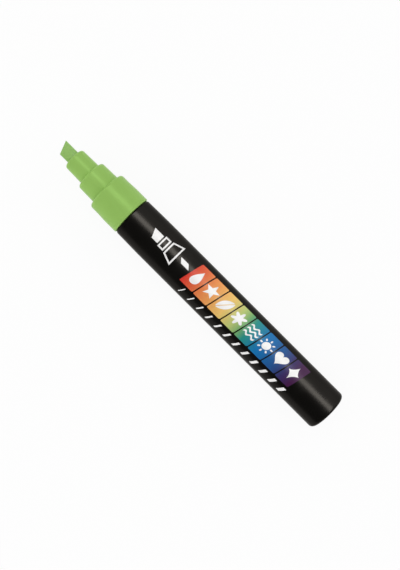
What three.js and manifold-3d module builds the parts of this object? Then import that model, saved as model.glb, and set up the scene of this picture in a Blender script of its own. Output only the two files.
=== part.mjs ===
// Acrylic paint marker with its cap off: a drawn aluminium barrel, a stepped front section,
// a chisel nib and the pump valve behind it. Millimetres, +Z up.
// The marker lies on its side along X, with the nib towards -X.
// Round pieces are drawn as a section of [radius, along, fillet] corners. "along" is the place
// on the marker's axis, measured from the barrel's mouth and negative towards the nib.

import * as THREE from 'three';
import { mergeVertices } from 'three/addons/utils/BufferGeometryUtils.js';
import Module from 'manifold-3d';

// Barrel: a drawn aluminium tube with a closed rear end and a rolled-in mouth
const barrelDiameter = 16.0;
const barrelLength = 97.8;
const barrelWall = 0.5;
const barrelFloor = 0.8;
const rearEdgeRadius = 1.45;
const neckDrop = 0.17;
const neckLength = 10.5;
const lipDepth = 0.5;
const lipRadius = 0.9;

// Front section: three steps down to the nib, and a spigot inside the barrel
const smallStepDiameter = 8.42;
const smallStepLength = 8.29;
const mediumStepDiameter = 11.75;
const mediumStepLength = 7.8;
const largeStepDiameter = 15.56;
const largeStepLength = 12.77;
const stepDraft = 0.18;
const stepRounding = 1.0;
const stepRootRadius = 0.35;
const collarLength = 5.6;
const collarSlope = 3.6;
const collarRounding = 0.35;
const frontWall = 1.15;
const smallBore = 6.3;
const mediumBore = 9.2;
const spigotLength = 10.0;
const spigotLeadIn = 0.6;
const beadHeight = 0.25;
const beadWidth = 0.4;
const beadSlope = 0.3;
const beadSetback = 2.8;

// Ribs that guide the nib and leave paint channels between them
const ribCount = 6;
const ribThickness = 0.7;
const ribSetback = 0.5;

// Sealing ring in a groove of the spigot
const ringThickness = 0.9;
const ringSetback = 5.4;
const grooveWall = 0.7;

// Nib: a round fibre rod ground to a slanted chisel
const nibDiameter = 5.0;
const nibReach = 6.3;
const nibSlant = THREE.MathUtils.degToRad(21.5);
const nibFacetLength = 4.6;
const nibEdgeThickness = 0.9;
const nibRearRounding = 0.4;
const nibTravel = 2.2;

// Valve: a soft seat, a sprung stem and the cage that holds them
const valveSetback = 4.0;
const seatShoulder = 0.7;
const seatThickness = 1.8;
const seatHole = 4.1;
const seatConeDepth = 0.7;
const stemStopGap = 0.8;
const finDiameter = 3.4;
const finThickness = 0.8;
const stemNeckDiameter = 2.4;
const stemHeadDiameter = 6.6;
const stemHeadRim = 1.2;
const stemBossDiameter = 3.8;
const stemBossLength = 1.2;
const stemTailDiameter = 2.2;
const stemTailSetback = 0.25;
const cageOverhang = 6.75;
const cageWall = 0.9;
const cageFloor = 1.2;
const guideLength = 7.3;
const guideWall = 0.5;
const windowCount = 4;
const windowWidth = 4.4;
const windowLength = 3.6;
const windowSetback = 2.3;

// Spring: round wire with its end turns drawn closer
const springWire = 0.45;
const springDiameter = 5.4;
const springTurns = 8;
const springEndPitch = 0.95;

// Mixing ball, loose in the barrel
const ballDiameter = 6.5;
const ballPlace = 55.0;

// Clearances
const snug = 0.05;
const slide = 0.1;
const loose = 0.15;
const seam = 0.1;

// Fineness of the facets
const turnSteps = 36;
const filletSteps = 4;
const wireSides = 6;
const wireSteps = 10;
const ringSides = 10;
const ballRings = 14;

// Places along the axis, worked out from the sizes above
const largeFront = -seam - largeStepLength;
const mediumFront = largeFront - mediumStepLength;
const smallFront = mediumFront - smallStepLength;
const nibTip = smallFront - nibReach;
const seatFront = -valveSetback;
const seatRear = seatFront + seatThickness;
const nibRear = seatFront - nibTravel - stemStopGap;
const cageFront = seatRear + snug;
const cageRear = spigotLength + cageOverhang;
const beadPlace = spigotLength - beadSetback;
const ringPlace = spigotLength - ringSetback;

// Radii that mate with each other
const barrelRadius = barrelDiameter / 2;
const barrelBore = barrelRadius - barrelWall;
const mouthRadius = barrelRadius - neckDrop;
const mouthBore = mouthRadius - barrelWall;
const lipBore = mouthBore - lipDepth;
const nibRadius = nibDiameter / 2;
const nibHole = nibRadius + loose;
const ringOutside = boreAt(ringPlace) - snug;
const ringInside = ringOutside - ringThickness;
const valveBore = ringInside - snug - grooveWall;
const chamberBore = valveBore - seatShoulder;
const cageRadius = valveBore - slide;
const cageBore = cageRadius - cageWall;

// The stem's cone bears on the seat's cone, both at 45 degrees
const headRadius = stemHeadDiameter / 2;
const headFront = seatRear - seatConeDepth + snug * Math.SQRT2;
const headRimFront = headFront + headRadius - seatHole / 2;
const headRear = headRimFront + stemHeadRim;

const finishes = {
  barrel: { color: 0x1c1a18, roughness: 0.42 },
  front: { color: 0x7fbf45, roughness: 0.38 },
  fibre: { color: 0x83bd4a, roughness: 0.85 },
  rubber: { color: 0x2b2b2b, roughness: 0.7 },
  plastic: { color: 0xe6e6df, roughness: 0.5 },
  steel: { color: 0xb9bcc0, roughness: 0.3, metalness: 1 },
};

const wasm = await Module();
wasm.setup();

function piece(name, geometry, finish) {
  geometry.computeVertexNormals();
  const mesh = new THREE.Mesh(geometry, new THREE.MeshStandardMaterial(finish));
  mesh.name = name;
  return mesh;
}

// The barrel's bore narrows over the neck, towards the mouth.
function boreAt(along) {
  const share = (along - barrelWall) / (neckLength - barrelWall);
  return mouthBore + neckDrop * THREE.MathUtils.clamp(share, 0, 1);
}

// Each corner with a fillet becomes an arc that is tangent to both of its edges.
function rounded(corners) {
  const points = [];
  corners.forEach(([radius, along, fillet], i) => {
    const here = new THREE.Vector2(radius, along);
    if (!fillet) {
      points.push(here);
      return;
    }
    const [before, after] = [corners.at(i - 1), corners[(i + 1) % corners.length]];
    const back = new THREE.Vector2(before[0], before[1]).sub(here).normalize();
    const ahead = new THREE.Vector2(after[0], after[1]).sub(here).normalize();
    const half = Math.acos(back.dot(ahead)) / 2;
    const middle = back.clone().add(ahead).normalize();
    const centre = here.clone().addScaledVector(middle, fillet / Math.sin(half));
    const tangent = fillet / Math.tan(half);
    const from = here.clone().addScaledVector(back, tangent).sub(centre);
    const to = here.clone().addScaledVector(ahead, tangent).sub(centre);
    const turn = Math.atan2(from.cross(to), from.dot(to));
    for (let step = 0; step <= filletSteps; step++) {
      const arm = from.clone().rotateAround(new THREE.Vector2(), (turn * step) / filletSteps);
      points.push(arm.add(centre));
    }
  });
  return points;
}

// Turns a section about the marker's axis, with a flat facet underneath. A section off the
// axis is closed on itself.
function turned(corners) {
  const points = rounded(corners);
  if (points[0].x > 0) points.push(points[0].clone());
  const lathe = new THREE.LatheGeometry(points, turnSteps, Math.PI / turnSteps);
  return lathe.rotateZ(-Math.PI / 2);
}

// A block that stands off the axis, turned about it.
function spoke(thickness, inner, outer, from, to, angle) {
  const block = new THREE.BoxGeometry(to - from, thickness, outer - inner);
  return block.translate((from + to) / 2, 0, (inner + outer) / 2).rotateX(angle);
}

function toSolid(geometry) {
  const bare = geometry.clone();
  bare.deleteAttribute('normal');
  bare.deleteAttribute('uv');
  const merged = mergeVertices(bare, 1e-5);
  const index = merged.getIndex().array;
  const triangles = [];
  for (let i = 0; i < index.length; i += 3) {
    const [a, b, c] = index.slice(i, i + 3);
    if (a !== b && b !== c && c !== a) triangles.push(a, b, c);
  }
  const vertProperties = new Float32Array(merged.getAttribute('position').array);
  const triVerts = new Uint32Array(triangles);
  return new wasm.Manifold(new wasm.Mesh({ numProp: 3, vertProperties, triVerts }));
}

function fromSolid(solid) {
  const { vertProperties, triVerts } = solid.getMesh();
  const geometry = new THREE.BufferGeometry();
  geometry.setAttribute('position', new THREE.BufferAttribute(vertProperties, 3));
  geometry.setIndex(new THREE.BufferAttribute(triVerts, 1));
  return geometry;
}

// The wall follows the rounded rear end and curls in at the mouth.
function barrel() {
  const inside = [
    [0, barrelLength - barrelFloor],
    [barrelBore, barrelLength - barrelFloor, rearEdgeRadius - barrelWall],
    [barrelBore, neckLength],
    [mouthBore, barrelWall, lipRadius - barrelWall],
    [lipBore, barrelWall],
  ];
  const outside = [
    [lipBore, 0],
    [mouthRadius, 0, lipRadius],
    [barrelRadius, neckLength],
    [barrelRadius, barrelLength, rearEdgeRadius],
    [0, barrelLength],
  ];
  return piece('barrel', turned([...inside, ...outside]), finishes.barrel);
}

// One step of the front section: a rounded front corner, a slight draft and a root fillet.
function step(diameter, front, rear) {
  return [
    [diameter / 2, front, stepRounding],
    [diameter / 2 + stepDraft, rear, stepRootRadius],
  ];
}

// A rounded sealing bead, or the groove that takes one.
function bead(radius, place, height, spread) {
  const half = beadWidth / 2 + spread;
  return [
    [radius, place - half - beadSlope],
    [radius + height, place - half],
    [radius + height, place + half],
    [radius, place + half + beadSlope],
  ];
}

function frontSection() {
  const neck = lipBore - snug;
  const shoulder = barrelWall + slide;
  const grooveFront = ringPlace - ringThickness / 2 - snug;
  const grooveRear = ringPlace + ringThickness / 2 + snug;
  const spigotRear = spigotLength - spigotLeadIn;
  const outside = [
    [nibHole, smallFront],
    ...step(smallStepDiameter, smallFront, mediumFront),
    ...step(mediumStepDiameter, mediumFront, largeFront),
    [largeStepDiameter / 2, largeFront, stepRounding],
    [largeStepDiameter / 2, -collarLength - collarSlope],
    [barrelRadius, -collarLength],
    [barrelRadius, -seam, collarRounding],
    [neck, -seam],
    [neck, shoulder],
    [boreAt(shoulder) - snug, shoulder, lipRadius - barrelWall],
    [boreAt(grooveFront) - snug, grooveFront],
    [ringInside - snug, grooveFront],
    [ringInside - snug, grooveRear],
    [boreAt(grooveRear) - snug, grooveRear],
    [boreAt(spigotRear) - snug, spigotRear],
    [boreAt(spigotRear) - snug - spigotLeadIn / 2, spigotLength],
  ];
  const inside = [
    [valveBore, spigotLength],
    ...bead(valveBore, beadPlace, beadHeight, snug).reverse(),
    [valveBore, seatFront],
    [chamberBore, seatFront],
    [chamberBore, largeFront + frontWall, frontWall / 2],
    [mediumBore / 2, largeFront + frontWall],
    [mediumBore / 2, mediumFront + frontWall, frontWall / 2],
    [smallBore / 2, mediumFront + frontWall],
    [smallBore / 2, smallFront + frontWall],
    [nibHole, smallFront + frontWall],
  ];
  let solid = toSolid(turned([...outside, ...inside]));
  for (let i = 0; i < ribCount; i++) {
    solid = solid.add(guideRib((2 * Math.PI * i) / ribCount));
  }
  return piece('front_section', fromSolid(solid), finishes.front);
}

// A rib stands on the bore's wall, through the small step and on into the medium one.
function guideRib(angle) {
  const inner = nibRadius + slide;
  const root = frontWall / 2;
  const front = smallFront + frontWall / 2;
  const bend = mediumFront + frontWall / 2;
  const narrow = spoke(ribThickness, inner, smallBore / 2 + root, front, bend, angle);
  const rear = largeFront + frontWall - ribSetback;
  const wide = spoke(ribThickness, inner, mediumBore / 2 + root, bend, rear, angle);
  return toSolid(narrow).add(toSolid(wide));
}

function sealingRing() {
  const radius = ringThickness / 2;
  const corners = [];
  for (let i = 0; i < ringSides; i++) {
    const angle = (2 * Math.PI * i) / ringSides;
    const across = ringOutside - radius + radius * Math.cos(angle);
    corners.push([across, ringPlace + radius * Math.sin(angle)]);
  }
  return piece('sealing_ring', turned(corners), finishes.rubber);
}

// The rod is cut by a wedge whose edge runs along the slant, from the long corner on the +Y
// side to the short one.
function nib() {
  const rod = turned([
    [0, nibTip],
    [nibRadius, nibTip],
    [nibRadius, nibRear, nibRearRounding],
    [0, nibRear],
  ]);
  const edge = nibEdgeThickness / 2;
  const length = 2 * (nibRear - nibTip);
  const rear = edge + ((nibRadius - edge) * length) / nibFacetLength;
  const outline = new THREE.Shape();
  outline.moveTo(edge / 2, edge);
  outline.lineTo(length, rear);
  outline.lineTo(length, -rear);
  outline.lineTo(edge / 2, -edge);
  outline.quadraticCurveTo(0, -edge, 0, -edge / 2);
  outline.lineTo(0, edge / 2);
  outline.quadraticCurveTo(0, edge, edge / 2, edge);
  const options = { depth: 8 * nibRadius, bevelEnabled: false, curveSegments: filletSteps };
  const wedge = new THREE.ExtrudeGeometry(outline, options);
  wedge.translate(0, 0, -4 * nibRadius).rotateX(Math.PI / 2);
  wedge.rotateZ(nibSlant).translate(nibTip, nibRadius, 0);
  const solid = toSolid(rod).intersect(toSolid(wedge));
  return piece('nib', fromSolid(solid), finishes.fibre);
}

function valveSeat() {
  const hole = seatHole / 2;
  const ring = turned([
    [hole, seatFront + snug],
    [valveBore - snug, seatFront + snug],
    [valveBore - snug, seatRear],
    [hole + seatConeDepth, seatRear],
    [hole, seatRear - seatConeDepth],
  ]);
  return piece('valve_seat', ring, finishes.rubber);
}

// Four fins reach forward to the nib, the cone seals, and the tail runs in the cage's guide.
function valveStem() {
  const neck = stemNeckDiameter / 2;
  const boss = stemBossDiameter / 2;
  const tail = stemTailDiameter / 2;
  const bossRear = headRear + stemBossLength;
  const neckFront = headFront + neck - seatHole / 2;
  const tailRear = cageRear - nibTravel - stemTailSetback;
  const body = turned([
    [0, neckFront],
    [neck, neckFront],
    [headRadius, headRimFront],
    [headRadius, headRear],
    [boss, headRear],
    [boss, bossRear],
    [tail, bossRear],
    [tail, tailRear, tail / 2],
    [0, tailRear],
  ]);
  const fin = finDiameter / 2;
  let solid = toSolid(body);
  for (const angle of [0, Math.PI / 2]) {
    solid = solid.add(toSolid(spoke(finThickness, -fin, fin, nibRear, headFront, angle)));
  }
  return piece('valve_stem', fromSolid(solid), finishes.plastic);
}

// A cup with a bead that snaps into the front section, a guide tube for the stem's tail and
// windows that let the paint in.
function valveCage() {
  const floor = cageRear - cageFloor;
  const guideBore = stemTailDiameter / 2 + loose;
  const cup = turned([
    [cageBore, cageFront],
    [cageRadius, cageFront],
    ...bead(cageRadius, beadPlace, beadHeight, 0),
    [cageRadius, cageRear, cageFloor / 2],
    [guideBore, cageRear],
    [guideBore, cageRear - guideLength],
    [guideBore + guideWall, cageRear - guideLength],
    [guideBore + guideWall, floor],
    [cageBore, floor],
  ]);
  const rear = cageRear - windowSetback;
  const front = rear - windowLength;
  let solid = toSolid(cup);
  for (let i = 0; i < windowCount; i++) {
    const angle = (2 * Math.PI * (i + 0.5)) / windowCount;
    const inner = (cageBore + guideBore + guideWall) / 2;
    const cutter = spoke(windowWidth, inner, 2 * cageRadius, front, rear, angle);
    solid = solid.subtract(toSolid(cutter));
  }
  return piece('valve_cage', fromSolid(solid), finishes.plastic);
}

// A helix along the axis. Its first and last turns have a finer pitch.
class SpringPath extends THREE.Curve {
  constructor(radius, from, to, turns, endPitch) {
    super();
    Object.assign(this, { radius, from, to, turns, endPitch });
  }

  getPoint(t, target = new THREE.Vector3()) {
    const turn = t * this.turns;
    const middle = (this.to - this.from - 2 * this.endPitch) / (this.turns - 2);
    const first = Math.min(turn, 1) * this.endPitch;
    const last = Math.max(turn - this.turns + 1, 0) * this.endPitch;
    const along = THREE.MathUtils.clamp(turn - 1, 0, this.turns - 2) * middle;
    const angle = turn * 2 * Math.PI;
    const across = this.radius * Math.cos(angle);
    const up = this.radius * Math.sin(angle);
    return target.set(this.from + first + along + last, across, up);
  }
}

function valveSpring() {
  const radius = springWire / 2;
  const from = headRear + radius + slide;
  const to = cageRear - cageFloor - radius - slide;
  const path = new SpringPath(springDiameter / 2 - radius, from, to, springTurns, springEndPitch);
  const outline = new THREE.Shape();
  for (let i = 0; i < wireSides; i++) {
    const angle = (2 * Math.PI * i) / wireSides;
    const corner = new THREE.Vector2(Math.cos(angle), Math.sin(angle)).multiplyScalar(radius);
    if (i === 0) outline.moveTo(corner.x, corner.y);
    else outline.lineTo(corner.x, corner.y);
  }
  const options = { steps: springTurns * wireSteps, extrudePath: path, bevelEnabled: false };
  return piece('valve_spring', new THREE.ExtrudeGeometry(outline, options), finishes.steel);
}

// The ball lies on the barrel's bore.
function mixingBall() {
  const radius = ballDiameter / 2;
  const ball = new THREE.SphereGeometry(radius, turnSteps / 2, ballRings);
  const mesh = piece('mixing_ball', ball, finishes.steel);
  mesh.position.set(ballPlace, 0, radius + slide - barrelBore);
  return mesh;
}

const body = new THREE.Group();
body.add(barrel(), frontSection(), sealingRing());

const valve = new THREE.Group();
valve.add(valveSeat(), valveStem(), valveSpring(), valveCage());

const marker = new THREE.Group();
marker.add(body, valve, nib(), mixingBall());
marker.position.x = -(nibTip + barrelLength) / 2;
marker.position.z = barrelRadius * Math.cos(Math.PI / turnSteps);

export default marker;
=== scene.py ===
"""Acrylic paint marker with its cap off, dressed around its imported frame.

The marker lies along X with its nib towards -X. Sizes are in millimetres unless a docstring
says metres. Places along the marker's axis start at the barrel's mouth.
"""

import logging
import math
from collections.abc import Callable, Sequence
from dataclasses import dataclass, fields
from enum import Enum
from typing import NamedTuple

import bmesh
import bpy
from mathutils import Matrix, Vector


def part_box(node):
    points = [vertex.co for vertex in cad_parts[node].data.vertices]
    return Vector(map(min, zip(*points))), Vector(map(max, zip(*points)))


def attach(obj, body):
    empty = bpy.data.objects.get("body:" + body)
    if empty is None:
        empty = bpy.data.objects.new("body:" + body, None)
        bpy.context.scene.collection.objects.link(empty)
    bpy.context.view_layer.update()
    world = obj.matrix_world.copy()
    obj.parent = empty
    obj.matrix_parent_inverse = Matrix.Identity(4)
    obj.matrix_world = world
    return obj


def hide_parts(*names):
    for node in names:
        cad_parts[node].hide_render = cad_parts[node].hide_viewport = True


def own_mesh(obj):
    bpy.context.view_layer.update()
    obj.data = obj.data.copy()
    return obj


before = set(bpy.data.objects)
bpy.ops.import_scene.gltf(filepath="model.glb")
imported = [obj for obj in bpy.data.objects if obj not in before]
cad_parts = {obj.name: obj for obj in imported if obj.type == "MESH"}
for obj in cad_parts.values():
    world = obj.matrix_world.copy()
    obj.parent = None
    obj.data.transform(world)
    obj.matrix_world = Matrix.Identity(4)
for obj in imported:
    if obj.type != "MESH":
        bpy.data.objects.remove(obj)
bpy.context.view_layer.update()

Colour = tuple[float, float, float]
Point = tuple[float, float]
Curve = Callable[[float], Point]

MM = 0.001
TURN_STEPS = 144
FILLET_SEGMENTS = 6
SMOOTH_ANGLE = math.radians(32)
MERGE_DISTANCE = 2e-4
CUT_DISTANCE = 1e-5
X_AXIS = Vector((1.0, 0.0, 0.0))
Y_AXIS = Vector((0.0, 1.0, 0.0))
WHITE = (1.0, 1.0, 1.0)
BLACK = (0.0, 0.0, 0.0)

log = logging.getLogger("marker")


class Corner(NamedTuple):
    """A corner of a turned section: its radius, its place along the axis and its fillet."""

    radius: float
    along: float
    fillet: float = 0.0


class Span(NamedTuple):
    """A stretch from a low to a high place."""

    low: float
    high: float

    @property
    def size(self) -> float:
        """How long it is."""
        return self.high - self.low

    @property
    def middle(self) -> float:
        """Where its middle is."""
        return (self.low + self.high) / 2


@dataclass(frozen=True)
class Axis:
    """The marker's axis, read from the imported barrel.

    Args:
        mouth: where the barrel's mouth lies on X, in metres.
        rear: where the barrel's closed end lies on X, in metres.
        height: the axis' height over the floor, in metres.
    """

    mouth: float
    rear: float
    height: float

    @classmethod
    def of_frame(cls) -> "Axis":
        """Reads the axis from the barrel's box."""
        low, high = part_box("barrel")
        return cls(low.x, high.x, (low.z + high.z) / 2)

    @property
    def radius(self) -> float:
        """The barrel's radius: the height of its axis when it lies on the floor."""
        return self.height / MM

    def x(self, along: float) -> float:
        """The place on X of a place along the axis, in metres."""
        return self.mouth + along * MM

    def point(self, along: float, across: float = 0.0, up: float = 0.0) -> Vector:
        """A point in metres, from its place along, across (+Y) and above the axis."""
        return Vector((self.x(along), across * MM, self.height + up * MM))


AXIS = Axis.of_frame()


class Slot(Enum):
    """The record's material slots."""

    BARREL = "barrel_black"
    FRONT = "front_green"
    NIB = "nib_green"
    VALVE = "valve_plastic"
    SEAL = "seal_rubber"
    SPRING = "spring_steel"
    BALL = "ball_steel"


class Body(Enum):
    """The frame's moving bodies."""

    BODY = "body"
    NIB = "nib_and_stem"
    BALL = "ball"


class Value:
    """A shader socket with the arithmetic that the finishes use.

    Args:
        graph: the node graph that the socket is in.
        socket: the output socket.
    """

    def __init__(self, graph: "Graph", socket: bpy.types.NodeSocket) -> None:
        """Wraps an output socket."""
        self.graph = graph
        self.socket = socket

    def _math(self, operation: str, first: "Value | float", second: "Value | float") -> "Value":
        """Adds a Math node on two values and returns its result."""
        settings = {"operation": operation}
        return self.graph.node("ShaderNodeMath", settings, {0: first, 1: second})

    def __add__(self, other: "Value | float") -> "Value":
        """self + other."""
        return self._math("ADD", self, other)

    def __radd__(self, other: float) -> "Value":
        """other + self."""
        return self._math("ADD", other, self)

    def __mul__(self, other: "Value | float") -> "Value":
        """self * other."""
        return self._math("MULTIPLY", self, other)

    def __rmul__(self, other: float) -> "Value":
        """other * self."""
        return self._math("MULTIPLY", other, self)

    def ramp(self, low: float, high: float) -> "Value":
        """A smooth step from 0 at low to 1 at high."""
        settings = {"interpolation_type": "SMOOTHSTEP"}
        return self.graph.node("ShaderNodeMapRange", settings, {0: self, 1: low, 2: high})


class Pattern(NamedTuple):
    """A noise pattern in a finish, and what it changes there.

    Args:
        size: how large its features are.
        detail: how ragged they are.
        along: its scale along the marker. Under 1, it is drawn out.
        ends: the levels at which its patches begin and are full, if it has patches.
        share: how far the patches take their colour.
        colour: that colour, if it isn't the finish's shade.
        roughness: how much rougher the patches are.
        depth: how deep its relief is.
    """

    size: float
    detail: float = 2.0
    along: float = 1.0
    ends: tuple[float, float] | None = None
    share: float = 0.0
    colour: Colour | None = None
    roughness: float = 0.0
    depth: float = 0.0


def rgba(colour: Colour) -> tuple[float, float, float, float]:
    """A colour with full alpha."""
    return (*colour, 1.0)


class Graph:
    """A material's node graph.

    Args:
        name: the material's name.
    """

    def __init__(self, name: str) -> None:
        """Starts a material with no nodes."""
        self.material = bpy.data.materials.new(name)
        self.material.use_nodes = True
        self.tree = self.material.node_tree
        self.tree.nodes.clear()

    def node(
        self,
        kind: str,
        settings: dict | None = None,
        inputs: dict | None = None,
        output: int | str = 0,
    ) -> Value:
        """Adds a node.

        Args:
            kind: the node's type.
            settings: attributes that are set first, or "stops" for a ramp's colours.
            inputs: values or sockets, by the input's name or number.
            output: the name or number of the output that is returned.

        Returns:
            The chosen output, wrapped.
        """
        made = self.tree.nodes.new(kind)
        for key, setting in (settings or {}).items():
            if key == "stops":
                self._set_stops(made.color_ramp, setting)
            else:
                setattr(made, key, setting)
        for key, value in (inputs or {}).items():
            if isinstance(value, Value):
                self.tree.links.new(value.socket, made.inputs[key])
            else:
                made.inputs[key].default_value = value
        return Value(self, made.outputs[output])

    @staticmethod
    def _set_stops(ramp: bpy.types.ColorRamp, stops: Sequence[tuple[float, Colour]]) -> None:
        """Gives a ramp its stops.

        Args:
            ramp: a new ramp.
            stops: its places from 0 to 1, each with its colour.
        """
        while len(ramp.elements) < len(stops):
            ramp.elements.new(1.0)
        for element, (place, colour) in zip(ramp.elements, stops, strict=True):
            element.position = place
            element.color = rgba(colour)

    def place(self) -> Value:
        """The point on the surface, in metres."""
        return self.node("ShaderNodeTexCoord", output="Object")

    def coordinate(self, axis: str) -> Value:
        """The point's place on X, Y or Z, in metres."""
        return self.node("ShaderNodeSeparateXYZ", inputs={0: self.place()}, output=axis)

    def noise(self, pattern: Pattern) -> Value:
        """Adds a pattern's noise.

        Args:
            pattern: the pattern.

        Returns:
            Its level, from 0 to 1.
        """
        place = self.place()
        if pattern.along != 1.0:
            stretch = {"Vector": place, "Scale": (pattern.along, 1.0, 1.0)}
            place = self.node("ShaderNodeMapping", inputs=stretch)
        inputs = {"Vector": place, "Scale": 1 / (pattern.size * MM), "Detail": pattern.detail}
        return self.node("ShaderNodeTexNoise", inputs=inputs)

    def mix(self, share: Value | float, first: Value | Colour, second: Value | Colour) -> Value:
        """Mixes two colours, by the numbers of the node's colour sockets.

        Args:
            share: how much of the second colour there is.
            first: the first colour.
            second: the second colour.

        Returns:
            The mixed colour.
        """
        ends = [end if isinstance(end, Value) else rgba(end) for end in (first, second)]
        inputs = {0: share, 6: ends[0], 7: ends[1]}
        return self.node("ShaderNodeMix", {"data_type": "RGBA"}, inputs, output=2)

    def bump(self, height: Value, depth: float, under: Value | None) -> Value:
        """A relief of a depth, on the one under it."""
        inputs = {"Height": height, "Distance": depth * MM, "Strength": 1.0}
        return self.node("ShaderNodeBump", inputs=inputs | ({"Normal": under} if under else {}))

    def output(self, shader: Value) -> bpy.types.Material:
        """Shows a shader on the surface.

        Args:
            shader: the shader.

        Returns:
            The finished material.
        """
        surface = self.tree.nodes.new("ShaderNodeOutputMaterial").inputs["Surface"]
        self.tree.links.new(shader.socket, surface)
        return self.material


@dataclass(frozen=True, kw_only=True)
class Finish:
    """A surface whose patterns change its colour, roughness and relief.

    Args:
        name: the material's name.
        colour: its colour, where that is even.
        shade: the colour of its patches.
        roughness: how rough it is between them.
        specular: how strongly it mirrors. 0.5 is usual.
        metallic: how far it is a metal.
        tint: the colour of what it mirrors.
        sheen: how much fuzz it has.
    """

    name: str
    colour: Colour = WHITE
    shade: Colour
    roughness: float
    specular: float = 0.5
    metallic: float = 0.0
    tint: Colour = WHITE
    sheen: float = 0.0

    def ground(self, graph: Graph) -> Value | Colour:
        """The colour under the patterns."""
        return self.colour

    def patterns(self) -> list[Pattern]:
        """Its patterns, in the order of its fields."""
        values = [getattr(self, field.name) for field in fields(self)]
        return [value for value in values if isinstance(value, Pattern)]

    def material(self) -> bpy.types.Material:
        """Builds the material.

        Returns:
            The material.
        """
        graph = Graph(self.name)
        colour, roughness, relief = self.ground(graph), self.roughness, None
        for pattern in self.patterns():
            level = graph.noise(pattern)
            patches = level.ramp(*pattern.ends) if pattern.ends else level
            if pattern.share:
                colour = graph.mix(patches * pattern.share, colour, pattern.colour or self.shade)
            if pattern.roughness:
                roughness = roughness + patches * pattern.roughness
            if pattern.depth:
                relief = graph.bump(level, pattern.depth, relief)
        inputs = {
            "Base Color": colour,
            "Roughness": roughness,
            "Specular IOR Level": self.specular,
            "Metallic": self.metallic,
            "Specular Tint": rgba(self.tint),
            "Sheen Weight": self.sheen,
            "Normal": relief,
        }
        return graph.output(graph.node("ShaderNodeBsdfPrincipled", inputs=inputs))


@dataclass(frozen=True, kw_only=True)
class Lacquer(Finish):
    """Satin black finish on drawn aluminium: mostly a dark metal, which mirrors little edge-on."""

    name: str = "black_lacquer"
    colour: Colour = (0.0134, 0.0124, 0.0110)
    shade: Colour = (0.0160, 0.0148, 0.0132)
    roughness: float = 0.26
    specular: float = 0.14
    metallic: float = 0.8
    tint: Colour = (0.55, 0.54, 0.53)
    smudges: Pattern = Pattern(9.0, 4.0, ends=(0.42, 0.68), share=0.5, roughness=0.05)
    dust: Pattern = Pattern(0.16, 1.0, ends=(0.74, 0.80), share=0.25, colour=(0.030, 0.029, 0.027))
    peel: Pattern = Pattern(0.35, depth=0.0018)
    drawn_lines: Pattern = Pattern(0.12, along=0.02, roughness=0.04, depth=0.00072)


@dataclass(frozen=True, kw_only=True)
class MouldedPlastic(Finish):
    """Moulded plastic with faint flow marks and a fine satin grain."""

    specular: float = 0.20
    flow: Pattern = Pattern(7.0, 3.0, along=0.35, ends=(0.35, 0.70), share=0.55, roughness=0.03)
    grain: Pattern = Pattern(0.22, roughness=0.06, depth=0.004)


@dataclass(frozen=True, kw_only=True)
class GreenPlastic(MouldedPlastic):
    """The green plastic of the front section, whose shine keeps its colour."""

    name: str = "green_plastic"
    colour: Colour = (0.288, 0.500, 0.117)
    shade: Colour = (0.274, 0.484, 0.109)
    roughness: float = 0.29
    specular: float = 0.13
    tint: Colour = (0.62, 1.0, 0.35)


@dataclass(frozen=True, kw_only=True)
class MilkyPlastic(MouldedPlastic):
    """The undyed plastic of the valve's stem and cage."""

    name: str = "milky_plastic"
    colour: Colour = (0.72, 0.72, 0.68)
    shade: Colour = (0.62, 0.62, 0.57)
    roughness: float = 0.42


@dataclass(frozen=True, kw_only=True)
class Fibre(Finish):
    """A pressed fibre rod soaked with paint: strands along it, pores and wetter patches."""

    name: str = "paint_soaked_fibre"
    colour: Colour = (0.262, 0.480, 0.106)
    shade: Colour = (0.165, 0.330, 0.062)
    roughness: float = 0.72
    specular: float = 0.35
    sheen: float = 0.08
    pores: Pattern = Pattern(0.09, ends=(0.62, 0.76), share=0.4, depth=0.01)
    strands: Pattern = Pattern(0.11, 3.0, along=0.07, ends=(0.56, 0.30), share=0.55, depth=0.03)
    wet: Pattern = Pattern(1.8, ends=(0.40, 0.65), roughness=-0.16)


@dataclass(frozen=True, kw_only=True)
class Ink(Finish):
    """Screen-printed white ink with a few thin spots."""

    name: str = "white_ink"
    colour: Colour = (0.84, 0.83, 0.82)
    shade: Colour = (0.62, 0.61, 0.60)
    roughness: float = 0.42
    specular: float = 0.4
    thin: Pattern = Pattern(0.5, 3.0, ends=(0.60, 0.78), share=0.25)
    film: Pattern = Pattern(0.12, roughness=0.08, depth=0.002)


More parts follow.
